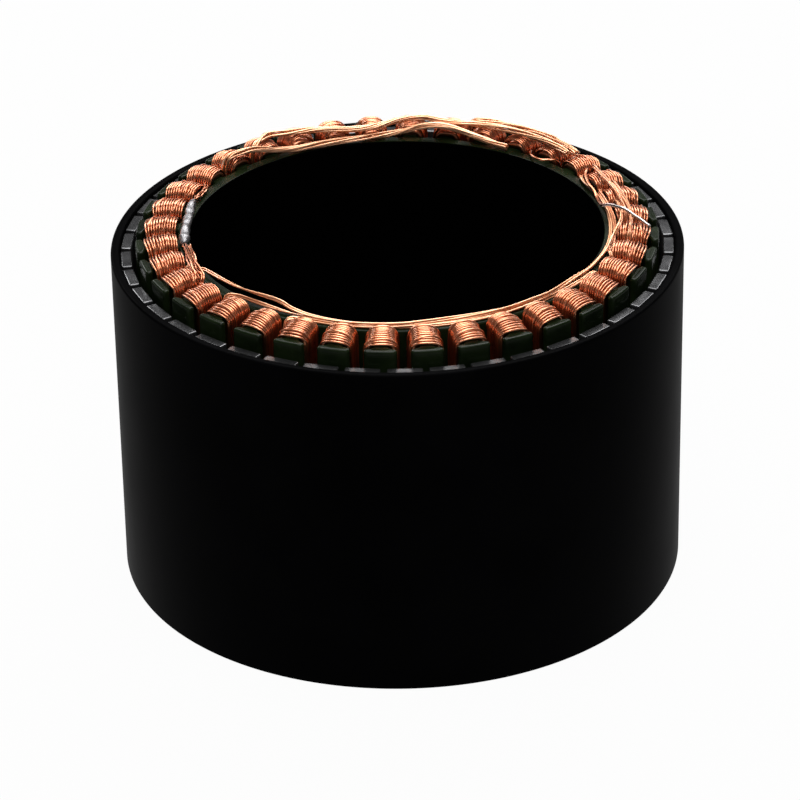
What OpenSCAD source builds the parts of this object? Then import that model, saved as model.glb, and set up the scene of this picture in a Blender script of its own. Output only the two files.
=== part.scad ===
// Outer-rotor frameless motor: a ring of magnets that turns round a wound stator with an open bore

/* [Rotor ring] */
// Outside diameter of the rotor ring
rotor_d = 100; // [90:1:120]
// Length of the rotor ring along the axis
rotor_len = 61; // [30:1:90]
// Radial wall of the rotor ring
yoke_wall = 1.6; // [1.4:0.1:3]
// Radius on the ring's rim edges
rim_round = 0.5; // [0.2:0.1:0.7]

/* [Magnets] */
// Width of one magnet round the ring
magnet_w = 6; // [4:0.1:6.4]
// Thickness of one magnet
magnet_t = 1.9; // [1:0.1:3]
// Depth of each magnet end inside the rim
magnet_recess = 0.5; // [0.1:0.1:3]
// Chamfer on the edges of a magnet
magnet_edge = 0.15; // [0.1:0.05:0.45]
// Bond line between a magnet's corners and the ring
bond_line = 0.08; // [0.04:0.01:0.2]

/* [Stator core] */
// Radial build of the motor, from the ring's outside to the stator's bore
radial_build = 14; // [13:0.1:17]
// Length of the lamination stack
core_len = 61; // [30:1:90]
// Radial thickness of the ring that joins the teeth
ring_t = 2.2; // [1.8:0.1:3]
// Width of a tooth's neck
neck_w = 2.8; // [2:0.1:3]
// Width of a tooth's shoe
shoe_w = 5.5; // [4.5:0.1:6.5]
// Thickness of the shoe at its edges
shoe_t = 1.1; // [0.8:0.1:2]
// Taper under the shoe, from its edges to the neck
shoe_taper = 0.45; // [0.3:0.05:1]
// Running gap between the shoes and the magnets
air_gap = 0.7; // [0.4:0.05:1]

/* [Windings] */
// Diameter of the enamelled wire
wire_d = 0.47; // [0.36:0.01:0.6]
// Width of a coil beside the shoe
coil_w_outer = 5.9; // [5:0.1:6.4]
// Width of a coil beside the ring
coil_w_inner = 4.6; // [4.5:0.1:5.4]
// Height of a coil head over its tooth's end, halfway along the coil
head_rise = 1.6; // [1.2:0.1:2]
// The same height beside the shoe
head_rise_outer = 0.7; // [0.5:0.1:1.2]
// The same height beside the ring
head_rise_inner = 1.4; // [1:0.1:2]
// Radius of the turns' bends over a tooth's corners
head_round = 1.9; // [1.5:0.1:2]
// Insulation between a coil and its tooth
insulation = 0.1; // [0.05:0.05:0.15]
// Height of the lowest coil heads above the bench
stator_lift = 0.45; // [0.1:0.05:1]
// Diameter of a lead, a bundle of wires
lead_d = 1; // [0.7:0.1:1.1]
// Diameter of the soldered star joint
joint_d = 1.4; // [1:0.1:1.5]

/* [Hidden] */
$fn = 96;
slot_count = 36;
magnet_count = 42;
phases = ["u", "v", "w"];
slot_pitch = 360 / slot_count;
magnet_pitch = 360 / magnet_count;

// Angles of the first tooth and the first magnet at rest
tooth_phase = 6;
magnet_phase = 5.4;

// Rotor, from the outside inwards
rotor_r = rotor_d / 2;
yoke_r = rotor_r - yoke_wall;
magnet_back = sqrt(pow(yoke_r - bond_line, 2) - pow(magnet_w / 2, 2));
magnet_face = magnet_back - magnet_t;
magnet_len = rotor_len - 2 * magnet_recess;

// Stator, from the shoes inwards
tip_r = magnet_face - air_gap;
shoe_edge = sqrt(pow(tip_r, 2) - pow(shoe_w / 2, 2)) - shoe_t;
shoe_root = shoe_edge - shoe_taper;
bore_r = rotor_r - radial_build;
ring_r = bore_r + ring_t;
ring_mid = (bore_r + ring_r) / 2;

// Coils: the turns fill the neck between the ring and the shoe
end_clearance = 0.1;
coil_inner = ring_r + end_clearance;
coil_outer = shoe_root - end_clearance;
coil_len = coil_outer - coil_inner;
turns = ceil(coil_len / wire_d);
turn_pitch = coil_len / turns;
// Groove between two turns, as shares of the wire's diameter
groove_w = 0.3 * wire_d;
groove_depth = 0.32 * wire_d;

// Heights above the bench
core_base = stator_lift + max([for (k = [0:turns - 1]) coil_rise(turn_place(k))]);
core_mid = core_base + core_len / 2;
core_top = core_base + core_len;

// Wires on the core's upper end, as [angle, distance outwards from the ring's middle, height above the core],
// with the last two in units of lay_unit
lay_unit = 1;
wire_sides = 8;
wire_steps = 3;
crossover_u = [
    [
        [221, 2.6, -2.5], [221.3, 1.6, 0.5], [224, 0.4, 0.9], [229, -0.2, 0.8], [235, -0.4, 0.6],
        [242, -0.45, 0.4], [252, -0.45, 0.3], [264, -0.4, 0.3], [276, -0.45, 0.3], [288, -0.45, 0.3],
        [300, -0.4, 0.3], [312, -0.45, 0.3], [322, -0.4, 0.3], [331, -0.3, 0.35], [340, 0, 0.4],
        [348, 0.1, 0.45], [356, 0.1, 0.5], [364, 0.1, 0.5], [372, 0.1, 0.5], [380, 0.1, 0.5],
        [386, 0.15, 0.5], [389.5, 0.8, 0.5], [391, 1.6, 0], [391, 1.6, -2.5]
    ],
    [
        [351, 3.5, -2.5], [351.2, 3.5, 0.8], [353.5, 3.6, 2], [356, 3.6, 2.1], [361, 3.6, 2.1],
        [366, 3.5, 2.1], [371, 3.4, 2.1], [376, 3.4, 2.1], [379, 3.4, 1.9], [381, 3.3, 0.6],
        [381, 3.3, -2.5]
    ]
];
crossover_v = [
    [
        [241, 2.6, -2.5], [241.3, 1.7, 0.3], [244.5, 0.5, 0.4], [252, 0.2, 0.3], [264, 0.25, 0.3],
        [276, 0.2, 0.3], [288, 0.2, 0.3], [300, 0.25, 0.3], [312, 0.3, 0.3], [318, 0.45, 0.4],
        [325, 0.8, 0.5], [329.5, 0.9, 0.5], [330.8, 1.6, 0.3], [331, 2.6, -2.5]
    ],
    [
        [341, 2.6, -2.5], [341.3, 1.7, 0.4], [344, 0.85, 0.5], [349, 0.8, 0.4], [356, 0.8, 0.45],
        [364, 0.8, 0.45], [372, 0.8, 0.4], [378, 0.85, 0.5], [380.5, 1.4, 0.4], [381, 1.6, -0.5],
        [381, 1.6, -2.5]
    ]
];
crossover_w = [
    [
        [201, 2.6, -2.5], [201.2, 1.7, 0.4], [203, 0.5, 0.5], [206, -0.4, 0.9], [210, -0.65, 1.2],
        [215, -0.7, 1.5], [220, -0.7, 1.7], [226, -0.75, 1.9], [232, -0.8, 2.1], [237, -0.75, 2],
        [241, -0.35, 1.5], [246, -0.3, 1], [254, -0.15, 0.8], [264, 0, 0.8], [271, 0.05, 0.8],
        [277, -0.3, 0.8], [284, -0.6, 0.8], [294, -0.55, 0.8], [300, -0.4, 0.8], [307, -0.4, 0.8],
        [313, 0, 0.85], [319, -0.2, 0.85], [325, -0.3, 0.85], [331, 0.1, 0.85], [337, 0.35, 0.9],
        [343, 0.5, 0.95], [349, 0.75, 1.25], [353, 1.4, 2.05], [358, 1.9, 2.1], [363, 2, 2.1],
        [368, 1.9, 2.05], [370.5, 1.9, 1.2], [371, 2, 0], [371, 2, -2.5]
    ],
    [
        [361, 2.9, -2.5], [361.2, 2.9, 0.8], [363, 2.8, 2], [366, 2.7, 2.1], [371, 2.7, 2.1],
        [376, 2.7, 2.1], [381, 2.6, 2.1], [386, 2.8, 2.1], [389, 3.3, 1.9], [391, 3.7, 0.6],
        [391, 3.7, -2.5]
    ]
];
crossovers = [crossover_u, crossover_v, crossover_w];
star_tails_routes = [
    [
        [190.6, 0.2, 0.95], [193, 0.35, 1.3], [198, 0.8, 1.8], [204, 1.6, 2.1], [208, 2.4, 2.1],
        [210.6, 3, 1.2], [211, 3.1, 0], [211, 3.1, -2.5]
    ],
    [
        [190.6, -0.45, 0.9], [195, -0.4, 1.1], [200, 0, 1.35], [205, 0.6, 1.5], [209, 1, 1.3],
        [210.8, 1.6, 0.4], [211, 2, -0.6], [211, 2, -2.5]
    ],
    [[161.7, 0.45, 0.9], [158, 0.3, 0.7], [154.5, 0.5, 0.45], [151.4, 1.6, 0.3], [151, 2.6, -2.5]]
];
star_joint_route = [
    [162.8, 0.4, 0.9], [167, 0.05, 0.9], [172, -0.3, 0.9], [177, -0.35, 0.9], [182, -0.25, 0.9],
    [186, 0, 0.9], [189.5, 0.25, 0.9]
];
lead_u = [
    [131, 2.7, -2], [131, 2.6, 0.6], [130, 2.2, 2], [127.5, 2.9, 2.35], [124, 3.6, 2.4], [119, 2.4, 2.3],
    [112, 1.2, 2.25], [106, 0.55, 1.9], [101, 0.25, 1.7], [97, 0.25, 1.7], [93.5, 0.6, 1.9],
    [89, 1.6, 2.35], [83, 2.8, 2.4], [78, 2, 2.35], [73, 1.8, 2.3], [68, 2.2, 2.3], [61, 2.6, 2.3],
    [53, 2.7, 2.3], [47, 2.7, 2.3], [42, 2.4, 2.3], [38, 1.9, 2.3]
];
lead_v = [
    [141, 2.7, -2], [141, 2.6, 0.6], [139.5, 2.2, 2.1], [136, 1.6, 2.3], [132.5, 1.1, 2.2],
    [129, 0.55, 1.7], [125.5, 0.2, 1.1], [120, -0.3, 0.7], [113, -0.45, 0.6], [105, -0.45, 0.6],
    [99, -0.35, 0.6], [94, 0, 0.65], [88, 0.2, 1.1], [83, 0.45, 1.7], [78, 0.5, 2], [73, 0.45, 1.8],
    [67, 0.3, 1.1], [62, 0, 0.7], [57, -0.15, 0.6]
];
lead_w = [
    [71, 4.6, -2], [71, 4.6, 0.6], [69.5, 4.6, 2.1], [66, 4.7, 2.35], [61, 4.9, 2.3], [56, 5, 2.3],
    [50, 5, 2.3], [45, 4.6, 2.3], [41, 4, 2.3], [37, 3.5, 2.3]
];
leads = [lead_u, lead_v, lead_w];
tinned_lead_route = [
    [31, 2.7, -2], [31, 2.6, 0.7], [29.5, 1.9, 1.7], [27, 0.7, 1.7], [22, -0.3, 1.4], [17, -0.7, 1.3],
    [12, -0.75, 1.3], [8.5, -0.7, 1.4], [6.5, -0.2, 1.8], [4.5, 0.6, 2.4], [2, 2, 2.8], [0, 3.4, 2.8],
    [-2, 4.7, 2.5], [-4, 6, 2.1], [-5.7, 6.9, 1.8]
];
jumper_route = [
    [51, 2.6, -2], [51, 1.8, 0.3], [49, 0, 0.6], [46.5, -0.75, 0.7], [44, -0.7, 0.75], [42.6, 0.3, 0.7],
    [41.3, 1.7, 0.3], [41, 2.6, -2]
];

steel_black = "#16171a";
nickel = "#8f9194";
coat_green = "#25382b";
copper = "#b86a3c";
lead_copper = "#d08a58";
solder = "#c9ccd0";

function two_digits(i) = str(i < 10 ? "0" : "", i);
function magnet_name(i) = str("magnet_", two_digits(i));

// Rectangle with round corners, its lower left corner at the origin
module rounded_bar(w, h, r) {
    translate([r, 0]) square([w - 2 * r, h]);
    translate([0, r]) square([w, h - 2 * r]);
    for (x = [r, w - r], y = [r, h - r]) translate([x, y]) circle(r);
}

// Rectangle with cut corners, centred
module cut_corners(w, h, c) {
    a = w / 2;
    b = h / 2;
    polygon([
        [a - c, -b], [a, c - b], [a, b - c], [a - c, b],
        [c - a, b], [-a, b - c], [-a, c - b], [c - a, -b]
    ]);
}

// Block with every edge chamfered, centred
module chamfered_block(x, y, z, c) {
    intersection() {
        linear_extrude(z, center = true) cut_corners(x, y, c);
        rotate([90, 0, 0]) linear_extrude(y, center = true) cut_corners(x, z, c);
        rotate([90, 0, 90]) linear_extrude(x, center = true) cut_corners(y, z, c);
    }
}

// Steel ring that carries the magnets and closes their flux
module rotor_yoke() {
    color(steel_black)
        rotate_extrude() translate([yoke_r, 0]) rounded_bar(yoke_wall, rotor_len, rim_round);
}

// One block magnet, bonded by its corners to the inside of the ring
module magnet(i) {
    color(nickel)
        rotate([0, 0, magnet_phase + (i - 1) * magnet_pitch])
            translate([(magnet_back + magnet_face) / 2, 0, rotor_len / 2])
                chamfered_block(magnet_t, magnet_w, magnet_len, magnet_edge);
}

// One tooth in plan, pointing along X: a neck and a tapered shoe, still square at its tip
module tooth_plan() {
    half_neck = neck_w / 2;
    half_shoe = shoe_w / 2;
    side = [
        [ring_mid, half_neck], [shoe_root, half_neck], [shoe_edge, half_shoe], [rotor_r, half_shoe]
    ];
    far_side = [for (k = [len(side) - 1:-1:0]) [side[k][0], -side[k][1]]];
    polygon(concat(side, far_side));
}

// Lamination stack: teeth on a ring, rounded at the tips to the running gap
module stator_core() {
    color(coat_green)
        translate([0, 0, core_base])
            linear_extrude(core_len)
                difference() {
                    intersection() {
                        circle(tip_r);
                        union() {
                            circle(ring_r);
                            for (i = [0:slot_count - 1]) rotate(tooth_phase + i * slot_pitch) tooth_plan();
                        }
                    }
                    circle(bore_r);
                }
}

// Distance of the middle of a turn from the motor's axis
function turn_place(k) = coil_inner + (k + 0.5) * turn_pitch;

// Half the width of a coil at a distance from the motor's axis
function coil_half(u) = (coil_w_inner + (coil_w_outer - coil_w_inner) * (u - coil_inner) / coil_len) / 2;

// Height of a coil's crown over the tooth's end: a parabola through its three heights
function coil_rise(u) =
    let (t = (u - coil_inner) / coil_len)
        head_rise_inner * (1 - t) * (1 - 2 * t) + 4 * head_rise * t * (1 - t)
            + head_rise_outer * t * (2 * t - 1);

// One layer of a coil, square to its tooth: straight down the tooth's sides and bent round over its two ends
module coil_layer(u, thickness, inset) {
    half = coil_half(u) - inset;
    top = core_len / 2 + coil_rise(u) - inset;
    linear_extrude(thickness) translate([-half, -top]) rounded_bar(2 * half, 2 * top, head_round - inset);
}

// One coil, with y along the motor's axis and z outwards, narrower beside the ring and grooved between turns
module coil() {
    difference() {
        for (k = [0:turns - 1])
            translate([0, 0, coil_inner + k * turn_pitch]) {
                coil_layer(turn_place(k), turn_pitch - groove_w, 0);
                if (k < turns - 1)
                    translate([0, 0, turn_pitch - 1.5 * groove_w])
                        coil_layer(turn_place(k + 0.5), 2 * groove_w, groove_depth);
            }
        translate([0, 0, (coil_inner + coil_outer) / 2])
            cube([neck_w + 2 * insulation, core_len + 2 * insulation, coil_len + wire_d], center = true);
    }
}

// The coils of one phase, on neighbouring pairs of teeth, every third pair
module phase_coils(phase) {
    color(copper)
        for (i = [0:slot_count - 1])
            if (floor(i / 2) % len(phases) == phase)
                rotate([0, 0, tooth_phase + i * slot_pitch])
                    translate([0, 0, core_mid])
                        rotate([90, 0, 90]) coil();
}

// Smooth curve through four neighbouring points, from the second to the third
function between(a, b, c, d, t) =
    0.5 * (2 * b + (c - a) * t + (2 * a - 5 * b + 4 * c - d) * t * t + (3 * b - a - 3 * c + d) * t * t * t);

function smooth_route(p) = [
    for (i = [0:len(p) - 2], k = [0:wire_steps - 1])
        between(p[max(i - 1, 0)], p[i], p[i + 1], p[min(i + 2, len(p) - 1)], k / wire_steps),
    p[len(p) - 1]
];

function on_core(p) =
    let (r = ring_mid + p[1] * lay_unit) [r * cos(p[0]), r * sin(p[0]), core_top + p[2] * lay_unit];
function unit(v) = v / norm(v);
function square_to(v, t) = unit(v - (v * t) * t);

// Tube along a route, with its own radius at each point
module tube(path, radii) {
    last = len(path) - 1;
    along = [for (i = [0:last]) unit(path[min(i + 1, last)] - path[max(i - 1, 0)])];
    start = square_to(abs(along[0][2]) > 0.8 ? [1, 0, 0] : [0, 0, 1], along[0]);
    normals = [for (i = 0, n = start; i <= last; i = i + 1, n = i <= last ? square_to(n, along[i]) : n) n];
    points = [
        for (i = [0:last], k = [0:wire_sides - 1])
            path[i] + radii[i] * (cos(k * 360 / wire_sides) * normals[i]
                + sin(k * 360 / wire_sides) * cross(along[i], normals[i]))
    ];
    sides = [
        for (i = [0:last - 1], k = [0:wire_sides - 1], half = [0, 1])
            let (a = i * wire_sides + k, b = i * wire_sides + (k + 1) % wire_sides)
                half == 0 ? [a, a + wire_sides, b + wire_sides] : [a, b + wire_sides, b]
    ];
    start_cap = [for (k = [0:wire_sides - 1]) k];
    end_cap = [for (k = [wire_sides - 1:-1:0]) last * wire_sides + k];
    polyhedron(concat(points), concat(sides, [start_cap, end_cap]));
}

module wire(route, d) {
    path = [for (p = smooth_route(route)) on_core(p)];
    tube(path, [for (p = path) d / 2]);
}

// Wires that join the coil pairs of one phase round the core's inner edge
module phase_crossover(phase) {
    color(copper) for (route = crossovers[phase]) wire(route, wire_d);
}

// Bundle of wires that brings one phase out over the coil heads
module phase_lead(phase) {
    color(lead_copper) wire(leads[phase], lead_d);
}

// Soldered joint of the three phase ends, thinner at its ends and lumpy along its length
module star_joint() {
    path = [for (p = smooth_route(star_joint_route)) on_core(p)];
    last = len(path) - 1;
    color(solder)
        tube(path, [
            for (i = [0:last])
                let (taper = min(1, 0.55 + min(i, last - i) * 0.22))
                    joint_d / 2 * taper * (1 - 0.08 * pow(sin(i * 77), 2))
        ]);
}

// Phase ends that run into the star joint
module star_tails() {
    color(copper) for (route = star_tails_routes) wire(route, wire_d);
}

// Lead end, bare and tinned, laid over the coil heads
module tinned_lead() {
    color(solder) wire(tinned_lead_route, wire_d);
}

// Short loop between two slots
module coil_jumper() {
    color(copper) wire(jumper_route, wire_d);
}

rotor_yoke();
stator_core();
for (i = [1:magnet_count]) {
    magnet(i);
}
for (k = [0:len(phases) - 1]) {
    phase_coils(k);
    phase_crossover(k);
    phase_lead(k);
}
star_joint();
star_tails();
tinned_lead();
coil_jumper();
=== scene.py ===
import math

import bpy
import numpy as np
from mathutils import Matrix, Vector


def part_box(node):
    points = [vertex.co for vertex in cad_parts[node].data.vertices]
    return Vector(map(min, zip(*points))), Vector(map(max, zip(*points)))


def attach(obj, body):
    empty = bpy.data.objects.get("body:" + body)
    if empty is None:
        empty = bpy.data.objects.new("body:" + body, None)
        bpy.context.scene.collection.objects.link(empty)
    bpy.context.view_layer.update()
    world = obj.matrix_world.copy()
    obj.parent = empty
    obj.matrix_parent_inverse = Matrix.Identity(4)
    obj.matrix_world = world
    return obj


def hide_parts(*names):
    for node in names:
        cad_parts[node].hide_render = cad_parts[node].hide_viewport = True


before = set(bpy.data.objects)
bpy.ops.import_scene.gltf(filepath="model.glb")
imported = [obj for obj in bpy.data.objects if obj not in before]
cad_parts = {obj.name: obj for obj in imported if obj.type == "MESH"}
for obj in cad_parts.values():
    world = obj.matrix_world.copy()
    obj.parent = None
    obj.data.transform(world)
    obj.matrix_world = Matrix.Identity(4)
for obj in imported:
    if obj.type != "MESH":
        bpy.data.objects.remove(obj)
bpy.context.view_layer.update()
mm = 0.001
print("frame loaded:", len(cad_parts), "nodes")


# Shader maths

class Flow:
    # one node output that can be added, subtracted, multiplied and raised to a power like a number;
    # without an output it only makes nodes

    def __init__(self, tree, socket=None):
        self.tree = tree
        self.socket = socket

    def node(self, kind, settings=None, inputs=None, out=0):
        made = self.tree.nodes.new(kind)
        for key, value in (settings or {}).items():
            setattr(made, key, value)
        for key, value in (inputs or {}).items():
            if isinstance(value, Flow):
                self.tree.links.new(value.socket, made.inputs[key])
            else:
                made.inputs[key].default_value = value
        return Flow(self.tree, made.outputs[out])

    def maths(self, operation, *values):
        return self.node("ShaderNodeMath", {"operation": operation}, dict(enumerate(values)))

    def __add__(self, other):
        return self.maths("ADD", self, other)

    def __sub__(self, other):
        return self.maths("SUBTRACT", self, other)

    def __rsub__(self, other):
        return self.maths("SUBTRACT", other, self)

    def __mul__(self, other):
        return self.maths("MULTIPLY", self, other)

    def __pow__(self, other):
        return self.maths("POWER", self, other)

    __radd__ = __add__
    __rmul__ = __mul__

    def within(self, low, high):  # 0 below low, 1 above high, smooth between
        return self.node("ShaderNodeMapRange", {"interpolation_type": "SMOOTHSTEP"},
                         {"Value": self, "From Min": low, "From Max": high})


def newFinish(name, constants):
    material = bpy.data.materials.new(name)
    material.use_nodes = True
    tree = material.node_tree
    shader = tree.nodes["Principled BSDF"]
    for key, value in constants.items():
        shader.inputs[key].default_value = value
    return material, Flow(tree), shader


def feed(flow, shader, links):
    for key, value in links.items():
        flow.tree.links.new(value.socket, shader.inputs[key])


def mixColours(flow, factor, first, second):  # the node's colour sockets are 6 and 7, and 2 comes out
    return flow.node("ShaderNodeMix", {"data_type": "RGBA"}, {0: factor, 6: first, 7: second}, 2)


def mixSurfaces(flow, factor, first, second):  # shows first where the factor is 0, second where it is 1
    mixed = flow.node("ShaderNodeMixShader", None, {0: factor, 1: first, 2: second})
    flow.tree.links.new(mixed.socket, flow.tree.nodes["Material Output"].inputs["Surface"])


def noise(flow, coords, scale, detail=2.0, roughness=0.55):
    return flow.node("ShaderNodeTexNoise", None,
                     {"Vector": coords, "Scale": scale, "Detail": detail, "Roughness": roughness})


def bump(flow, height, strength, distance):
    return flow.node("ShaderNodeBump", None, {"Height": height, "Strength": strength, "Distance": distance})


# Finishes

ringFinish = dict(constants={"Specular IOR Level": 0.005}, rough=0.45, spread=0.14,
                  low=(0.0006, 0.0006, 0.0007, 1), high=(0.0013, 0.0013, 0.0015, 1),
                  mottleScale=55, mottleDetail=3.0, mottleEdges=(0.3, 0.7),
                  grainScale=2600, grainBump=0.12, grainDepth=0.00003)
magnetFinish = dict(constants={"Metallic": 0.85}, rough=0.2, spread=0.1,
                    low=(0.06, 0.06, 0.062, 1), high=(0.12, 0.12, 0.123, 1),
                    mottleScale=180, mottleDetail=4.0, mottleEdges=(0.3, 0.72),
                    grainScale=2200, grainBump=0.15, grainDepth=0.00003)


def mottledFinish(name, look):
    # colour and roughness follow a mottle, whose middle is 0.5, and a fine grain makes the bump
    material, flow, shader = newFinish(name, look["constants"])
    place = flow.node("ShaderNodeTexCoord", out="Object")
    mottle = noise(flow, place, look["mottleScale"], look["mottleDetail"])
    grain = noise(flow, place, look["grainScale"])
    feed(flow, shader, {
        "Base Color": mixColours(flow, mottle.within(*look["mottleEdges"]), look["low"], look["high"]),
        "Roughness": look["rough"] + (mottle - 0.5) * look["spread"],
        "Normal": bump(flow, grain, look["grainBump"], look["grainDepth"])})
    return material


coreFinish = dict(constants={"Specular IOR Level": 0.08}, rough=0.26, spread=0.12,
                  low=(0.0025, 0.005, 0.0016, 1), high=(0.0085, 0.0145, 0.0046, 1),
                  mottleScale=160, mottleDetail=4.0, mottleEdges=(0.3, 0.7),
                  peelScale=900, peelShare=0.5, sheet=0.35, sheetShare=0.12,  # sheet is a lamination, in mm
                  coatBump=0.25, bumpDepth=0.00006,
                  # bore is the near-black colour of the bore's wall: painted shade
                  bore=(0.0006, 0.0006, 0.0006, 1), boreR=36.3, boreBlend=0.2, boreBump=0.3)


def coreCoat():
    # mottled coat with the laminations' edges as a sine wave up the stack, and a near-black bore, which is
    # painted shade inside the bore over the laminations' bump
    look = coreFinish
    material, flow, shader = newFinish("darkGreenCoat", look["constants"])
    place = flow.node("ShaderNodeTexCoord", out="Object")
    x, y, z = (flow.node("ShaderNodeSeparateXYZ", None, {0: place}, axis) for axis in range(3))
    radius = (x * x + y * y) ** 0.5
    mottle = noise(flow, place, look["mottleScale"], look["mottleDetail"])
    peel = noise(flow, place, look["peelScale"])
    sheets = flow.maths("SINE", z * (2 * math.pi / (look["sheet"] * mm)))
    relief = peel * look["peelShare"] + sheets * look["sheetShare"]
    feed(flow, shader, {
        "Base Color": mixColours(flow, mottle.within(*look["mottleEdges"]), look["low"], look["high"]),
        "Roughness": look["rough"] + (mottle - 0.5) * look["spread"],
        "Normal": bump(flow, relief, look["coatBump"], look["bumpDepth"])})
    # the bore's wall: a near-black diffuse surface, painted shade, with the laminations' bump
    boreShadeSurface = flow.node("ShaderNodeBsdfDiffuse", None, {
        "Color": look["bore"], "Normal": bump(flow, sheets + mottle, look["boreBump"], look["bumpDepth"])})
    outside = radius.within((look["boreR"] - look["boreBlend"]) * mm, look["boreR"] * mm)  # 0 in the bore
    mixSurfaces(flow, outside, boreShadeSurface, Flow(flow.tree, shader.outputs[0]))
    return material


wireSurface = dict(constants={"Metallic": 1.0, "Coat Roughness": 0.16, "Coat IOR": 1.55},
                   patchDetail=3.0, patchEdges=(0.25, 0.75), drawnBump=0.1, drawnDepth=0.00002)
windingFinish = dict(low=(0.42, 0.12, 0.042, 1), high=(0.84, 0.31, 0.14, 1), rough=0.3, spread=0.14,
                     coat=1.0, patches=0.4, patchScale=420, drawnScale=5200)
# leads and crossovers: copper paler than the windings, a painted highlight
paleSheenLeadLook = dict(low=(0.52, 0.17, 0.065, 1), high=(0.98, 0.54, 0.3, 1), rough=0.45, spread=0.14,
                  coat=1.0, patches=0.4, patchScale=380, drawnScale=5200)
tinnedFinish = dict(low=(0.13, 0.126, 0.13, 1), high=(0.36, 0.35, 0.36, 1), rough=0.46, spread=0.2,
                    coat=0.1, patches=0.6, patchScale=600, drawnScale=3000)
strippedFinish = dict(low=(0.66, 0.20, 0.07, 1), high=(0.55, 0.54, 0.53, 1), rough=0.27, spread=0.2,
                      coat=0.4, patches=0.15, patchScale=600, drawnScale=3000)


def wireFinish(name, look):
    # colour runs from low to high with each turn's tone, random or set as painted shade and highlight by
    # the pieces, and with patches; drawing marks make the bump
    s = wireSurface
    material, flow, shader = newFinish(name, s["constants"])
    place = flow.node("ShaderNodeTexCoord", out="Object")
    # the shade attribute: a random tone a turn, or painted shade and highlight set by the piece
    turn = flow.node("ShaderNodeAttribute", {"attribute_name": "shade"}, out="Fac")
    patch = noise(flow, place, look["patchScale"], s["patchDetail"])
    drawn = noise(flow, place, look["drawnScale"])
    tone = turn * (1 - look["patches"]) + patch.within(*s["patchEdges"]) * look["patches"]
    feed(flow, shader, {
        "Base Color": mixColours(flow, tone, look["low"], look["high"]),
        "Roughness": look["rough"] + (patch - 0.5) * look["spread"],
        "Coat Weight": look["coat"] * (patch + 0.5),
        "Normal": bump(flow, drawn, s["drawnBump"], s["drawnDepth"])})
    return material


finishes = {
    "ring": mottledFinish("satinBlackCoat", ringFinish),
    "magnet": mottledFinish("dullNickel", magnetFinish),
    "core": coreCoat(),
    "winding": wireFinish("enamelledCopper", windingFinish),
    "lead": wireFinish("paleSheenCopper", paleSheenLeadLook),
    "tinned": wireFinish("brightSolder", tinnedFinish),
    "stripped": wireFinish("strippedEnd", strippedFinish)}
print("finishes made:", len(finishes))


# Mesh helpers

def unit(v):
    return v / np.maximum(np.linalg.norm(v, axis=-1, keepdims=True), 1e-12)


def turned(out, side, angle):
    # (outwards, sideways) at an angle round the motor, in degrees, to x and y
    a = np.radians(angle)
    return out * np.cos(a) - side * np.sin(a), out * np.sin(a) + side * np.cos(a)


def stacked(plan, z):
    # one plan a level, with the level's height beside it
    return np.concatenate([plan, np.broadcast_to(z[:, None, None], plan.shape[:2] + (1,))], -1)


def roundedOblong(low, high, radius, steps):
    # quarter circles in the four corners of an oblong, centre + radius * (cos a, sin a),
    # and the directions (cos a, sin a)
    a = np.radians(np.linspace(0, 90, steps) + np.array([[0], [90], [180], [270]]))
    facing = np.stack([np.cos(a), np.sin(a)], -1)
    side = np.array([[1, 1], [-1, 1], [-1, -1], [1, -1]])
    centre = np.where(side > 0, high, low) - side * radius
    return (centre[:, None] + radius * facing).reshape(-1, 2), facing.reshape(-1, 2)


def gridFaces(rows, columns, closedRows, closedColumns, start=0):
    # quads of a grid whose points are numbered row by row
    i = np.arange(rows if closedRows else rows - 1)[:, None]
    k = np.arange(columns if closedColumns else columns - 1)[None]
    a = i * columns + k
    b = (i + 1) % rows * columns + k
    c = (i + 1) % rows * columns + (k + 1) % columns
    d = i * columns + (k + 1) % columns
    return np.stack([a, b, c, d], -1).reshape(-1, 4) + start


def pathFrame(path, ahead):
    # directions across a path, square to it and to the motor's radius, and up from it
    along = unit(ahead)
    across = unit(np.cross(along, path * [1, 1, 0]))
    return across, np.cross(across, along)


def sweepTubes(paths, radius, sides, closed):
    # a tube round each path: path point + radius * (cos a * across + sin a * rise)
    count, stations = paths.shape[:2]
    if closed:
        ahead = np.roll(paths, -1, 1) - np.roll(paths, 1, 1)
    else:
        ahead = np.gradient(paths, axis=1)
    across, rise = pathFrame(paths, ahead)
    a = (np.arange(sides) * 2 * math.pi / sides)[:, None]
    points = paths[:, :, None] + radius * (np.cos(a) * across[:, :, None] + np.sin(a) * rise[:, :, None])
    first = np.arange(count) * stations * sides
    quads = first[:, None, None] + gridFaces(stations, sides, closed, True)
    faceSets = [quads.reshape(-1, 4)]
    if not closed:
        end = np.arange(sides)
        faceSets.append(first[:, None] + end)
        faceSets.append(first[:, None] + (stations - 1) * sides + end[::-1])
    return points.reshape(-1, 3), faceSets


def joinParts(parts):
    # several (points, faceSets, shade) lots as one
    points, faceSets, shades, start = [], [], [], 0
    for p, faces, shade in parts:
        points.append(p)
        faceSets += [f + start for f in faces]
        shades.append(shade)
        start += len(p)
    return np.concatenate(points), faceSets, np.concatenate(shades)


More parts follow.
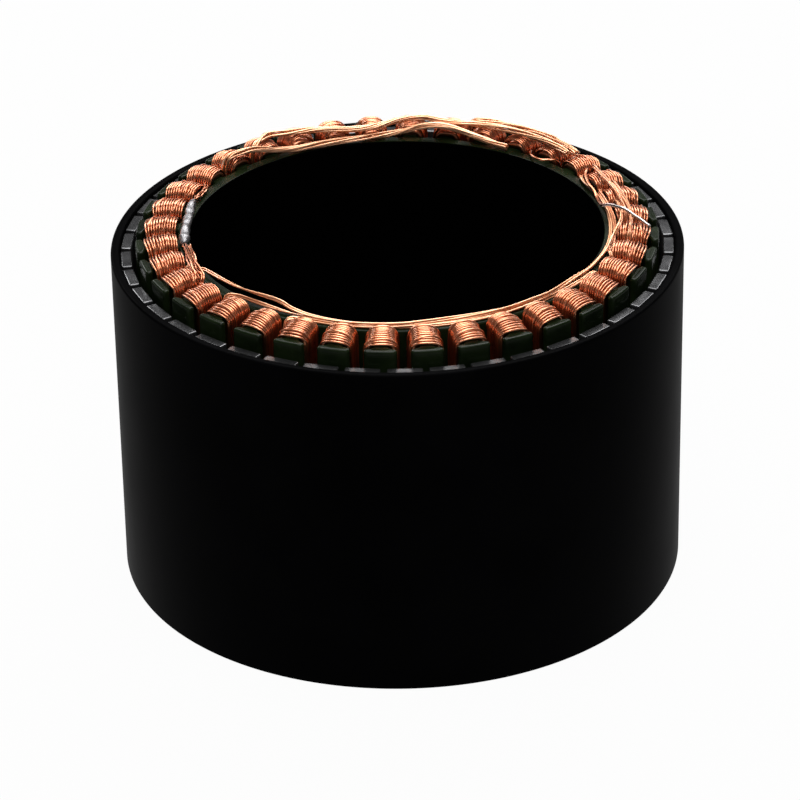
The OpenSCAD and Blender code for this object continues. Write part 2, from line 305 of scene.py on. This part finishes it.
def putPiece(name, points, faceSets, finish, body, nodes, shade=None):
    # faceSets is a list of index arrays, each with one number of corners a face
    points = points.reshape(-1, 3)
    corners = np.concatenate([f.ravel() for f in faceSets]).astype(np.int32)
    counts = np.concatenate([np.full(len(f), f.shape[1]) for f in faceSets])
    mesh = bpy.data.meshes.new(name)
    mesh.vertices.add(len(points))
    mesh.vertices.foreach_set("co", points.astype(np.float32).ravel())
    mesh.loops.add(len(corners))
    mesh.loops.foreach_set("vertex_index", corners)
    mesh.polygons.add(len(counts))
    mesh.polygons.foreach_set("loop_start", (np.cumsum(counts) - counts).astype(np.int32))
    mesh.polygons.foreach_set("use_smooth", np.ones(len(counts), bool))
    mesh.update()
    mesh.validate()
    if shade is not None:
        tones = mesh.attributes.new("shade", "FLOAT", "POINT")
        tones.data.foreach_set("value", shade.astype(np.float32))
    mesh.materials.append(finishes[finish])
    piece = bpy.data.objects.new(name, mesh)
    bpy.context.scene.collection.objects.link(piece)
    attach(piece, body)
    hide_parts(*nodes)
    print(name, len(points), "points,", int(np.sum(counts - 2)), "triangles")


# Rotor ring and magnets

ringShape = dict(outside=50.0, inside=48.4, length=61.0, round=0.5, around=320, roundSteps=6)


def makeRing():
    # a rounded bar's outline turned about the motor's axis
    s = ringShape
    low, high = (s["inside"], 0), (s["outside"], s["length"])
    bar = roundedOblong(low, high, s["round"], s["roundSteps"])[0]
    angle = np.arange(s["around"])[:, None] * 360 / s["around"]
    x, y = turned(bar[:, 0], 0, angle)
    points = np.stack([x, y, np.broadcast_to(bar[:, 1], x.shape)], -1) * mm
    putPiece("rotorRing", points, [gridFaces(s["around"], len(bar), True, True)],
             "ring", "rotor", ["rotor_yoke"])


magnetShape = dict(count=42, first=5.4, back=48.227, thick=1.9, width=6.0, corner=0.3, edge=0.24, steps=5,
                   support=0.03)


def makeMagnet(index):
    # a rounded oblong carried up the motor; near each end it moves inwards by edge * (1 - cos a)
    # and up by edge * sin a, and a last row a little further in keeps the end flat
    s = magnetShape
    node = "magnet_%02d" % (index + 1)
    low, high = (corner.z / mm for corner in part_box(node))
    half = np.array([s["thick"], s["width"]]) / 2
    outline, facing = roundedOblong(-half, half, s["corner"], s["steps"])
    a = np.radians(np.linspace(0, 90, s["steps"]))
    inset = np.append(s["edge"] * (1 - np.cos(a)), s["edge"] + s["support"])
    lift = np.append(s["edge"] * (np.sin(a) - 1), 0.0)
    plan = outline - facing * np.concatenate([inset[::-1], inset])[:, None, None]
    z = np.concatenate([low - lift[::-1], high + lift])
    x, y = turned(s["back"] - s["thick"] / 2 + plan[..., 0], plan[..., 1],
                  s["first"] + index * 360 / s["count"])
    points = stacked(np.stack([x, y], -1), z) * mm
    rows, across = x.shape
    bottom = np.arange(across)[None, ::-1]
    top = np.arange(across)[None] + (rows - 1) * across
    faces = [gridFaces(rows, across, False, True)[:, ::-1], bottom, top]
    putPiece("block%02d" % (index + 1), points, faces, "magnet", "rotor", [node])


makeRing()
for index in range(magnetShape["count"]):
    makeMagnet(index)
print("rotor made")


# Stator core

coreShape = dict(teeth=36, firstTooth=6.0, boreR=36.0, ringR=38.2, neck=1.4, shoeRoot=43.994,
                 shoeEdge=44.444, shoe=2.75, tipR=45.627, tipSpan=2.4, tipSteps=4,
                 neckFillet=0.4, shoeFillet=0.35, shoeRound=0.45, tipRound=0.55, arcSteps=5,
                 edge=0.42, boreEdge=0.25, edgeSteps=7, support=0.06, boreSteps=8)
coreLow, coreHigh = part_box("stator_core")
coreTop = coreHigh.z / mm
coreBase = coreLow.z / mm


def roundCorner(before, corner, after, radius):
    # arc of a circle that touches both sides of a corner
    before, corner, after = (np.array(p, float) for p in (before, corner, after))
    u, v = unit(before - corner), unit(after - corner)
    half = math.acos(float(np.clip(u @ v, -1, 1))) / 2
    centre = corner + unit(u + v) * radius / math.sin(half)
    start = corner + u * radius / math.tan(half) - centre
    end = corner + v * radius / math.tan(half) - centre
    sweep = math.atan2(start[0] * end[1] - start[1] * end[0], start @ end)
    a = math.atan2(start[1], start[0]) + sweep * np.linspace(0, 1, coreShape["arcSteps"])
    return centre + radius * np.stack([np.cos(a), np.sin(a)], -1)


def toothOutline():
    # half a tooth from the slot's middle to the tip, then its mirror image; x outwards along the tooth
    s = coreShape
    slot = np.array(turned(s["ringR"], 0, 180 / s["teeth"]))
    root = [math.sqrt(s["ringR"] ** 2 - s["neck"] ** 2), s["neck"]]
    hook = [s["shoeRoot"], s["neck"]]
    edge = [s["shoeEdge"], s["shoe"]]
    tip = [math.sqrt(s["tipR"] ** 2 - s["shoe"] ** 2), s["shoe"]]
    face = [s["tipR"], 0.0]
    side = np.concatenate([
        [slot],
        roundCorner(slot, root, hook, s["neckFillet"]),
        roundCorner(root, hook, edge, s["shoeFillet"]),
        roundCorner(hook, edge, tip, s["shoeRound"]),
        roundCorner(edge, tip, face, s["tipRound"]),
        np.stack(turned(s["tipR"], 0, np.linspace(s["tipSpan"], 0.0, s["tipSteps"])), -1)])
    return np.concatenate([side * [1, -1], side[::-1][1:]])[:-1]


def ringOfTeeth(plan):
    # one tooth's outline repeated round the motor
    s = coreShape
    angle = s["firstTooth"] + np.arange(s["teeth"]) * 360 / s["teeth"]
    return np.stack(turned(plan[:, 0], plan[:, 1], angle[:, None]), -1).reshape(-1, 2)


def stackLevels(edge):
    # shifts into the core by edge * (1 - cos a) with heights by edge * sin a, lower end first;
    # a last row a little further in keeps each end flat
    s = coreShape
    a = np.radians(np.linspace(0, 90, s["edgeSteps"]))
    shift = np.append(edge * (1 - np.cos(a)), edge + s["support"])
    lift = edge * np.append(np.sin(a), 1)
    heights = np.concatenate([(coreBase + edge - lift)[::-1], coreTop - edge + lift])
    return np.concatenate([shift[::-1], shift]), heights


def makeCore():
    # the teeth's outline and the bore's circle carried up the stack, both moving into it near each end
    s = coreShape
    outline = ringOfTeeth(toothOutline())
    tangent = unit(np.roll(outline, -1, 0) - np.roll(outline, 1, 0))
    inwards = np.stack([-tangent[:, 1], tangent[:, 0]], -1)
    shift, z = stackLevels(s["edge"])
    outer = stacked(outline + inwards * shift[:, None, None], z)
    bore = s["teeth"] * s["boreSteps"]
    boreAngle = s["firstTooth"] - 180 / s["teeth"] + np.arange(bore) * 360 / bore
    shift, z = stackLevels(s["boreEdge"])
    inner = stacked(np.stack(turned((s["boreR"] + shift)[:, None], 0, boreAngle), -1), z)
    rows, across = len(z), len(outline)
    start = rows * across
    wall = gridFaces(rows, across, False, True)[:, ::-1]
    boreWall = gridFaces(rows, bore, False, True, start)
    tooth = np.arange(s["teeth"])[:, None]
    perTooth = across // s["teeth"]
    rim = (tooth * perTooth + np.arange(perTooth + 1)) % across
    mouth = (tooth * s["boreSteps"] + np.arange(s["boreSteps"] + 1)) % bore
    mouth = mouth[:, ::-1] + start
    top = np.concatenate([rim + (rows - 1) * across, mouth + (rows - 1) * bore], 1)
    bottom = np.concatenate([rim, mouth], 1)[:, ::-1]
    points = np.concatenate([outer.reshape(-1, 3), inner.reshape(-1, 3)]) * mm
    putPiece("coatedCore", points, [wall, boreWall, top, bottom],
             "core", "stator", ["stator_core"])


makeCore()
print("core made")


# Coils: wire wound round each tooth

coilShape = dict(
    inner=38.3, outer=43.894, widthInner=5.4, widthOuter=5.9,  # beside the ring and beside the shoe
    rise=1.6, riseInner=1.4, riseOuter=0.6, backRise=0.8, drop=1.25, square=0.8, lean=0.75,  # heads
    wire=0.37, turns=12, under=0.08, wander=0.025, wanderWaves=4, tilt=0.03, tiltWaves=5,  # first layer
    overTurns=2, overLift=0.2, overSlant=0.5, overInset=0.5, overSpare=1.2, overPlace=(0.15, 0.85),
    overWander=0.015, overWaves=3, overTone=(0.2, 1),  # turns that lie across it
    fillDepth=0.36, fillInset=0.36, fillHalf=1.46, fillLift=0.05, fillSquare=0.3,  # body under the turns
    headSteps=15, legSteps=2, sides=8, seed=11)
headBase = (coreTop - coreBase) / 2 - coilShape["drop"]  # where the heads begin, from mid-height
wireRoom = coilShape["outer"] - coilShape["inner"] - coilShape["wire"]  # for the wires' middles


def towardsShoe(out):
    # share of the way out along the coil: 0 beside the ring, 1 beside the shoe
    s = coilShape
    return (out - s["inner"]) / (s["outer"] - s["inner"])


def coilHalf(out):
    # half the coil's width, growing evenly towards the shoe
    s = coilShape
    return (s["widthInner"] + (s["widthOuter"] - s["widthInner"]) * towardsShoe(out)) / 2


def coilRise(out):
    # crown's height over the tooth's end: a parabola through its heights beside the ring,
    # halfway and beside the shoe
    s = coilShape
    t = towardsShoe(out)
    ends = s["riseInner"] * (1 - t) * (1 - 2 * t) + s["riseOuter"] * t * (2 * t - 1)
    return ends + 4 * s["rise"] * t * (1 - t)


def atBack(angle):
    # 1 at the back of the motor, where the leads lie, falling to 0 at its sides: sine of the angle, squared
    return np.clip(np.sin(np.radians(angle)), 0, 1) ** 2


def leanOut(out, crown):
    # heads lean outwards over the shoe: lean * (share of the way to the shoe)^2 * (height in the head)^2
    return coilShape["lean"] * towardsShoe(out) ** 2 * crown ** 2


def loopStations(power):
    # one turn as across, crown, sign of the head and share of the turn's step: head, leg, head, leg;
    # a head is a rounded arch, across = cos a and crown = sin a, each raised to a power under 1,
    # and its share of the step grows as (1 - cos a) / 4
    s = coilShape
    a = np.linspace(0, math.pi, s["headSteps"])
    arch = np.sign(np.cos(a)) * np.abs(np.cos(a)) ** power
    dome = np.abs(np.sin(a)) ** power
    leg = np.linspace(1, -1, s["legSteps"] + 2)[1:-1]
    ones, zeros = np.ones(len(leg)), np.zeros(len(leg))
    ease = (1 - np.cos(a)) / 4
    across = np.concatenate([arch, -ones, -arch, ones])
    crown = np.concatenate([dome, zeros, -dome, zeros])
    head = np.concatenate([np.ones(len(a)), leg, -np.ones(len(a)), -leg])
    step = np.concatenate([ease, 0.5 * ones, 0.5 + ease, ones])
    return across, crown, head, step


def wanderAlong(rng, count, stations, waves, faintest=0.3):
    # slow unevenness: a sum of sine waves with random phases
    t = np.linspace(0, 1, stations)
    k = np.arange(1, waves + 1)
    phase = rng.uniform(0, 2 * math.pi, (count, waves, 1))
    size = rng.uniform(faintest, 1, (count, waves, 1)) / math.sqrt(waves)
    return np.sum(size * np.sin(2 * math.pi * k[:, None] * t + phase), 1)


def toMotor(side, up, out, angle):
    # tooth frame (sideways, up from mid-height, outwards) to the motor's frame
    x, y = turned(out, side, angle[:, None])
    return mm * np.stack([x, y, (coreTop + coreBase) / 2 + up], -1)


def onCoil(out, slack, across, crown, head, angle):
    # wire's middle: half width and crown as the coil's plus slack, less the wire's radius and under,
    # with the heads higher at the back and leaning out
    s = coilShape
    radius = s["wire"] / 2
    out = np.clip(out, s["inner"] + radius, s["outer"] - radius)
    slack = slack - radius - s["under"]
    proud = s["backRise"] * atBack(angle)[:, None] * (head > 0)
    up = head * headBase + (coilRise(out) + s["drop"] + slack + proud) * crown
    return toMotor((coilHalf(out) + slack) * across, up, out + leanOut(out, crown), angle)


def windLayer(rng, angle):
    # one layer of wire, stepping outwards by a pitch a turn
    s = coilShape
    count, turns = len(angle), s["turns"]
    across, crown, head, step = loopStations(s["square"])
    turnOf = np.repeat(np.arange(turns), len(step))
    across, crown, head, step = (np.tile(part, turns) for part in (across, crown, head, step))
    hand = np.where(np.arange(count) % 2 == 0, 1, -1)[:, None]  # every other coil is wound the other way
    out = s["inner"] + s["wire"] / 2 + wireRoom * (turnOf + step) / turns
    out = out + s["tilt"] * wanderAlong(rng, count, len(step), s["tiltWaves"] * turns)
    slack = s["wander"] * wanderAlong(rng, count, len(step), s["wanderWaves"] * turns)
    tone = rng.uniform(0, 1, (count, turns))[:, turnOf]
    paths = onCoil(out, slack, across * hand, crown, head, angle)
    points, faces = sweepTubes(paths, s["wire"] / 2 * mm, s["sides"], False)
    return points, faces, np.repeat(tone, s["sides"])


def layOver(rng, angle):
    # a few turns of the next layer, which lie across the first one
    s = coilShape
    turns = s["overTurns"]
    across, crown, head = loopStations(s["square"])[:3]
    place = (np.arange(turns) + rng.uniform(*s["overPlace"], (len(angle), turns))) / turns
    angle = np.repeat(angle, turns)
    slant = rng.uniform(-1, 1, (len(angle), 1)) * s["overSlant"] * across
    out = s["inner"] + s["wire"] / 2 + s["overInset"] + (wireRoom - s["overSpare"]) * place.reshape(-1, 1)
    slack = s["overWander"] * wanderAlong(rng, len(angle), len(across), s["overWaves"]) + s["overLift"]
    tone = rng.uniform(*s["overTone"], len(angle))
    paths = onCoil(out + slant, slack, across, crown, head, angle)
    points, faces = sweepTubes(paths, s["wire"] / 2 * mm, s["sides"], True)
    return points, faces, np.repeat(tone, len(across) * s["sides"])


def fillBody(angle):
    # filled body under the turns: a bar of four edges bent round the tooth, closed both ways; its darkest
    # copper tone is painted shade in the gaps between the turns
    s = coilShape
    count = len(angle)
    across, crown, head = loopStations(s["square"])[:3]
    holeAcross, holeCrown = loopStations(s["fillSquare"])[:2]
    inside = np.array([True, False, False, True])  # edges that lie on the tooth
    low, high = s["inner"] + s["fillInset"], s["outer"] - s["fillInset"]
    out = np.array([low, low, high, high])
    side = np.where(inside, s["fillHalf"] * holeAcross[:, None],
                    (coilHalf(out) - s["fillDepth"]) * across[:, None])
    up = head[:, None] * headBase + np.where(inside, (s["drop"] + s["fillLift"]) * holeCrown[:, None],
                                             (coilRise(out) + s["drop"] - s["fillDepth"]) * crown[:, None])
    out = np.broadcast_to(out, side.shape)
    points = toMotor(*(np.tile(part.ravel(), (count, 1)) for part in (side, up, out)), angle)
    first = np.arange(count)[:, None, None] * side.size
    faces = first + gridFaces(len(across), len(inside), True, True)[:, ::-1]
    # tone 0, the darkest copper, is painted shade seen between the turns
    return points.reshape(-1, 3), [faces.reshape(-1, 4)], np.zeros(count * side.size)


def makeCoils(letter, phase):
    # pairs of neighbouring teeth go to the three phases in turn
    teeth = np.arange(coreShape["teeth"])
    angle = coreShape["firstTooth"] + teeth[teeth // 2 % 3 == phase] * 360 / coreShape["teeth"]
    rng = np.random.default_rng(coilShape["seed"] + phase)
    points, faces, shade = joinParts([windLayer(rng, angle), layOver(rng, angle), fillBody(angle)])
    putPiece("coilsPhase" + letter, points, faces, "winding", "stator",
             ["phase_" + letter.lower() + "_coils"], shade)


for phase, letter in enumerate("UVW"):
    makeCoils(letter, phase)
print("coils wound")


# Wires on the core's upper end: angle, distance out from the ring's middle, height above the core

wireRoutes = dict(
    crossoverU=[(221, 2.6, -2.5), (221.3, 1.6, 0.5), (224, 0.4, 0.9), (229, -0.2, 0.8),
                (235, -0.4, 0.6), (242, -0.45, 0.4), (252, -0.45, 0.3), (264, -0.4, 0.3),
                (276, -0.45, 0.3), (288, -0.45, 0.3), (300, -0.4, 0.3), (312, -0.45, 0.3),
                (322, -0.4, 0.3), (331, -0.3, 0.35), (340, 0, 0.4), (348, 0.1, 0.45), (356, 0.1, 0.5),
                (364, 0.1, 0.5), (372, 0.1, 0.5), (380, 0.1, 0.5), (386, 0.15, 0.5), (389.5, 0.8, 0.5),
                (391, 1.6, 0), (391, 1.6, -2.5)],
    crossoverV=[(241, 2.6, -2.5), (241.3, 1.7, 0.3), (244.5, 0.5, 0.4), (252, 0.2, 0.3),
                (264, 0.25, 0.3), (276, 0.2, 0.3), (288, 0.2, 0.3), (300, 0.25, 0.3), (312, 0.3, 0.3),
                (318, 0.45, 0.4), (325, 0.8, 0.5), (329.5, 0.9, 0.5), (330.8, 1.6, 0.3),
                (331, 2.6, -2.5)],
    crossoverW=[(201, 2.6, -2.5), (201.2, 1.7, 0.4), (203, 0.5, 0.5), (206, -0.4, 0.9),
                (210, -0.65, 1.2), (215, -0.7, 1.5), (220, -0.7, 1.7), (226, -0.75, 1.9),
                (232, -0.8, 2.1), (237, -0.75, 2), (241, -0.35, 1.5), (246, -0.3, 1),
                (254, -0.15, 0.8), (264, 0, 0.8), (271, 0.05, 0.8), (277, -0.3, 0.8), (284, -0.6, 0.8),
                (294, -0.55, 0.8), (300, -0.4, 0.8), (307, -0.4, 0.8), (313, 0, 0.85),
                (319, -0.2, 0.85), (325, -0.3, 0.85), (331, 0.1, 0.85), (337, 0.35, 0.9),
                (343, 0.5, 0.95), (349, 0.75, 1.25), (353, 1.4, 2.05), (358, 1.9, 2.1), (363, 2, 2.1),
                (368, 1.9, 2.05), (370.5, 1.9, 1.2), (371, 2, 0), (371, 2, -2.5)],
    bandU=[(351, 3.5, -2.5), (351.2, 3.5, 0.8), (353.5, 3.6, 2), (356, 3.6, 2.1), (361, 3.6, 2.1),
           (366, 3.5, 2.1), (371, 3.4, 2.1), (376, 3.4, 2.1), (379, 3.4, 1.9), (381, 3.3, 0.6),
           (381, 3.3, -2.5)],
    bandV=[(341, 2.6, -2.5), (341.3, 1.7, 0.4), (344, 0.85, 0.5), (349, 0.8, 0.4), (356, 0.8, 0.45),
           (364, 0.8, 0.45), (372, 0.8, 0.4), (378, 0.85, 0.5), (380.5, 1.4, 0.4), (381, 1.6, -0.5),
           (381, 1.6, -2.5)],
    bandW=[(361, 2.9, -2.5), (361.2, 2.9, 0.8), (363, 2.8, 2), (366, 2.7, 2.1), (371, 2.7, 2.1),
           (376, 2.7, 2.1), (381, 2.6, 2.1), (386, 2.8, 2.1), (389, 3.3, 1.9), (391, 3.7, 0.6),
           (391, 3.7, -2.5)],
    tailA=[(190.6, 0.2, 0.95), (193, 0.35, 1.3), (198, 0.8, 1.8), (204, 1.6, 2.1), (208, 2.4, 2.1),
           (210.6, 3, 1.2), (211, 3.1, 0), (211, 3.1, -2.5)],
    tailB=[(190.6, -0.45, 0.9), (195, -0.4, 1.1), (200, 0, 1.35), (205, 0.6, 1.5), (209, 1, 1.3),
           (210.8, 1.6, 0.4), (211, 2, -0.6), (211, 2, -2.5)],
    tailC=[(161.7, 0.45, 0.9), (158, 0.3, 0.7), (154.5, 0.5, 0.45), (151.4, 1.6, 0.3),
           (151, 2.6, -2.5)],
    joint=[(162.8, 0.4, 0.9), (167, 0.05, 0.9), (172, -0.3, 0.9), (177, -0.35, 0.9), (182, -0.25, 0.9),
           (186, 0, 0.9), (189.5, 0.25, 0.9)],
    leadU=[(131, 2.7, -2), (131, 2.6, 0.6), (130, 2.2, 2), (127.5, 2.9, 2.35), (124, 3.6, 2.4),
           (119, 2.4, 2.3), (112, 1.2, 2.25), (106, 0.55, 1.9), (101, 0.25, 1.7), (97, 0.25, 1.7),
           (93.5, 0.6, 1.9), (89, 1.6, 2.35), (83, 2.8, 2.4), (78, 2, 2.35), (73, 1.8, 2.3),
           (68, 2.2, 2.3), (61, 2.6, 2.3), (53, 2.7, 2.3), (47, 2.7, 2.3), (42, 2.4, 2.3),
           (38, 1.9, 2.3)],
    leadV=[(141, 2.7, -2), (141, 2.6, 0.6), (139.5, 2.2, 2.1), (136, 1.6, 2.3), (132.5, 1.1, 2.2),
           (129, 0.55, 1.7), (125.5, 0.2, 1.1), (120, -0.3, 0.7), (113, -0.45, 0.6), (105, -0.45, 0.6),
           (99, -0.35, 0.6), (94, 0, 0.65), (88, 0.2, 1.1), (83, 0.45, 1.7), (78, 0.5, 2),
           (73, 0.45, 1.8), (67, 0.3, 1.1), (62, 0, 0.7), (57, -0.15, 0.6)],
    leadW=[(71, 4.6, -2), (71, 4.6, 0.6), (69.5, 4.6, 1.8), (66, 4.7, 2), (61, 4.9, 2), (56, 5, 2),
           (50, 5, 2), (45, 4.6, 2), (41, 4, 2.1), (37, 3.5, 2.2)],
    tinned=[(31, 2.7, -2), (31, 2.6, 0.7), (29.5, 1.9, 1.7), (27, 0.7, 1.7), (22, -0.3, 1.4),
            (17, -0.7, 1.3), (12, -0.75, 1.3), (8.5, -0.7, 1.4), (6.5, -0.2, 1.8), (4.5, 0.6, 2.4),
            (2, 2, 2.8), (0, 3.4, 2.8), (-2, 4.7, 2.5), (-4, 6, 2.1), (-5.7, 6.9, 1.8)],
    jumper=[(51, 2.6, -2), (51, 1.8, 0.3), (49, 0, 0.6), (46.5, -0.75, 0.7), (44, -0.7, 0.75),
            (42.6, 0.3, 0.7), (41.3, 1.7, 0.3), (41, 2.6, -2)])
ringMid = (coreShape["boreR"] + coreShape["ringR"]) / 2
headHeight = 2.0  # a wire this high above the core lies on the heads


def smoothRoute(route, steps):
    # cubic through each span's two points, shaped by the points before and after them
    p = np.array(route, float)
    last = len(p) - 1
    span = np.repeat(np.arange(last), steps)
    t = np.tile(np.arange(steps) / steps, last)[:, None]
    a, b, c, d = p[np.maximum(span - 1, 0)], p[span], p[span + 1], p[np.minimum(span + 2, last)]
    square = 2 * a - 5 * b + 4 * c - d
    cube = 3 * b - a - 3 * c + d
    curve = 0.5 * (2 * b + (c - a) * t + square * t ** 2 + cube * t ** 3)
    return np.concatenate([curve, p[-1:]])


def onCore(route, steps):
    # a route's points on the motor; at the back, wires on the heads rise with them
    angle, out, height = smoothRoute(route, steps).T
    x, y = turned(ringMid + out, 0, angle)
    proud = coilShape["backRise"] * atBack(angle) * np.clip(height / headHeight, 0, 1)
    return mm * np.stack([x, y, coreTop + height + proud], -1)


# twist is in turns a metre, and tone is the range of the strands' tones: the high tones of crossovers and
# leads are painted highlight, the band's low tones painted shade
strandLook = dict(
    crossover=dict(count=2, spread=0.18, wire=0.38, twist=20, uneven=0.3, tone=(0.6, 1.0), steps=10),
    band=dict(count=3, spread=0.22, wire=0.37, twist=20, uneven=0.3, tone=(0.0, 0.3), steps=10),
    lead=dict(count=7, spread=0.4, wire=0.4, twist=24, uneven=0.3, tone=(0.7, 1.0), steps=10),
    tail=dict(count=3, spread=0.3, wire=0.36, twist=18, uneven=0.4, tone=(0.0, 1.0), steps=12),
    jumper=dict(count=1, spread=0.0, wire=0.45, twist=0, uneven=0, tone=(0.3, 0.5), steps=12),
    tinned=dict(count=1, spread=0.17, wire=0.58, twist=95, uneven=0.6, tone=(0.0, 1.0), steps=12))
strandShape = dict(sides=8, twistWander=0.7, twistWaves=4, reachWaves=5)
strippedTone = (-1.6, 2.2)  # copper for two fifths of the way from the slot, tin in the last third
wireSeeds = dict(crossover=21, lead=31, tails=41, jumper=42, tinned=43)


def strands(path, rng, count, spread, wire, twist, uneven, tone):
    # wires that wind slowly round a path: path + spread * (cos a * across + sin a * rise),
    # a growing with length
    s = strandShape
    across, rise = pathFrame(path, np.gradient(path, axis=0))
    length = np.concatenate([[0], np.cumsum(np.linalg.norm(np.diff(path, axis=0), axis=1))])
    a = 2 * math.pi * (np.arange(count)[:, None] / count + twist * length)
    a = (a + s["twistWander"] * wanderAlong(rng, count, len(path), s["twistWaves"]))[..., None]
    reach = spread * mm * (1 + uneven * wanderAlong(rng, count, len(path), s["reachWaves"]))[..., None]
    paths = path + reach * (np.cos(a) * across + np.sin(a) * rise)
    points, faces = sweepTubes(paths, wire / 2 * mm, s["sides"], False)
    return points, faces, np.repeat(rng.uniform(*tone, count), len(path) * s["sides"])


def makeWire(name, routes, finish, nodes, seed):
    # routes is a list of (route, look) pairs that make one piece
    rng = np.random.default_rng(seed)
    parts = []
    for route, look in routes:
        s = dict(strandLook[look])
        path = onCore(wireRoutes[route], s.pop("steps"))
        parts.append(strands(path, rng, **s))
    points, faces, shade = joinParts(parts)
    if finish == "stripped":
        shade = np.clip(np.linspace(*strippedTone, len(shade)), 0, 1)
    putPiece(name, points, faces, finish, "stator", nodes, shade)


for k, letter in enumerate("UVW"):
    phaseName = "phase_" + letter.lower()
    makeWire("crossover" + letter, [("crossover" + letter, "crossover"), ("band" + letter, "band")],
             "lead", [phaseName + "_crossover"], wireSeeds["crossover"] + k)
    makeWire("lead" + letter, [("lead" + letter, "lead")],
             "lead", [phaseName + "_lead"], wireSeeds["lead"] + k)
makeWire("starTails", [("tailA", "tail"), ("tailB", "tail"), ("tailC", "tail")],
         "winding", ["star_tails"], wireSeeds["tails"])
makeWire("slotJumper", [("jumper", "jumper")],
         "winding", ["coil_jumper"], wireSeeds["jumper"])
makeWire("tinnedEnd", [("tinned", "tinned")],
         "stripped", ["tinned_lead"], wireSeeds["tinned"])

# ripples: size, waves round the joint, radians along it
jointShape = dict(radius=0.7, lowerRadius=0.88, endShare=0.5, endLength=0.14, lumps=0.13, lumpWaves=9,
                  ripples=((0.6, 2, 14), (0.4, 3, -23)), tone=0.6, steps=16, sides=18, seed=3)


def makeJoint():
    # solder round a route: radius growing along it * (taper at the ends) * (1 + lumps along and round it)
    s = jointShape
    rng = np.random.default_rng(s["seed"])
    path = onCore(wireRoutes["joint"], s["steps"])
    t = np.linspace(0, 1, len(path))[:, None]
    near = np.clip(np.minimum(t, 1 - t) / s["endLength"], 0, 1)
    taper = s["endShare"] + (1 - s["endShare"]) * np.sin(near * math.pi / 2)
    a = np.arange(s["sides"]) * 2 * math.pi / s["sides"]
    lumps = wanderAlong(rng, 1, len(path), s["lumpWaves"])[0][:, None]
    for size, waves, along in s["ripples"]:
        lumps = lumps + size * np.sin(waves * a + along * t)
    swell = s["radius"] + (s["lowerRadius"] - s["radius"]) * t
    radius = swell * taper * (1 + s["lumps"] * lumps) * mm
    points, faces = sweepTubes(path[None], radius[None, ..., None], s["sides"], False)
    putPiece("solderedJoint", points, faces, "tinned", "stator", ["star_joint"],
             np.full(len(points), s["tone"]))


makeJoint()
print("wires laid")


# Floor, light and camera

stageLook = dict(size=6.0, floor=(0.4, 0.4, 0.4, 1), floorRough=0.9, glow=0.965,
                 world=(0.13, 0.13, 0.133, 1), aim=(0, 0, 0.06),
                 lamps=dict(key=((0.06, 0.5, 0.7), 0.5, 5.2),  # place, width, power
                            top=((0.0, -0.2, 0.82), 0.6, 6.5),
                            left=((-0.4, 0.58, 0.46), 0.26, 1.6),
                            right=((0.4, 0.58, 0.46), 0.26, 1.2)))


def seenRays(flow):
    # 1 for what the camera, mirrors and glass see, 0 for light on the object
    rays = ("Is Camera Ray", "Is Glossy Ray", "Is Transmission Ray")
    camera, glossy, through = (flow.node("ShaderNodeLightPath", out=ray) for ray in rays)
    return flow.maths("MAXIMUM", flow.maths("MAXIMUM", camera, glossy), through)


def makeFloor():
    s = stageLook
    h = s["size"] / 2
    mesh = bpy.data.meshes.new("paleFloor")
    mesh.from_pydata([(-h, -h, 0), (h, -h, 0), (h, h, 0), (-h, h, 0)], [], [(0, 1, 2, 3)])
    floor = bpy.data.objects.new("paleFloor", mesh)
    bpy.context.scene.collection.objects.link(floor)
    material, flow, shader = newFinish("paleFloor", {
        "Base Color": s["floor"], "Roughness": s["floorRough"], "Specular IOR Level": 0.0})
    white = flow.node("ShaderNodeEmission", None, {"Strength": 1.0})
    mixSurfaces(flow, seenRays(flow) * s["glow"], Flow(flow.tree, shader.outputs[0]), white)
    mesh.materials.append(material)


def pointAhead(name, data, place, ahead, level):
    # an object at a place that looks ahead, with level as its own right hand side
    holder = bpy.data.objects.new(name, data)
    holder.location = place
    turn = np.stack([level, np.cross(level, ahead), -ahead], 1)
    holder.rotation_euler = Matrix(turn.tolist()).to_euler()
    bpy.context.scene.collection.objects.link(holder)
    return holder


def makeLight():
    s = stageLook
    world = bpy.data.worlds.new("studio")
    bpy.context.scene.world = world
    world.use_nodes = True
    world.node_tree.nodes["Background"].inputs["Color"].default_value = s["world"]
    for name, (place, width, power) in s["lamps"].items():
        lamp = bpy.data.lights.new(name + "Lamp", "AREA")
        lamp.shape = "DISK"
        lamp.size = width
        lamp.energy = power
        ahead = unit(np.array(s["aim"]) - np.array(place))
        pointAhead(name + "Lamp", lamp, place, ahead, unit(np.cross(ahead, [0, 0, 1])))


cameraView = dict(place=(0.0, -0.64215, 0.38024), pitch=0.5003, roll=-0.0176, lens=184.72, sensor=36,
                  clipStart=0.01)


def makeCamera():
    s = cameraView
    data = bpy.data.cameras.new("photoView")
    data.lens = s["lens"]
    data.sensor_width = s["sensor"]
    data.sensor_fit = "HORIZONTAL"
    data.clip_start = s["clipStart"]
    ahead = np.array([0, math.cos(s["pitch"]), -math.sin(s["pitch"])])
    level = np.array([1.0, 0, 0])
    level = math.cos(s["roll"]) * level + math.sin(s["roll"]) * np.cross(level, ahead)
    bpy.context.scene.camera = pointAhead("photoView", data, s["place"], ahead, level)


makeFloor()
makeLight()
makeCamera()
bpy.context.scene.view_settings.view_transform = "Standard"
print("stage and camera set")

bpy.context.view_layer.update()
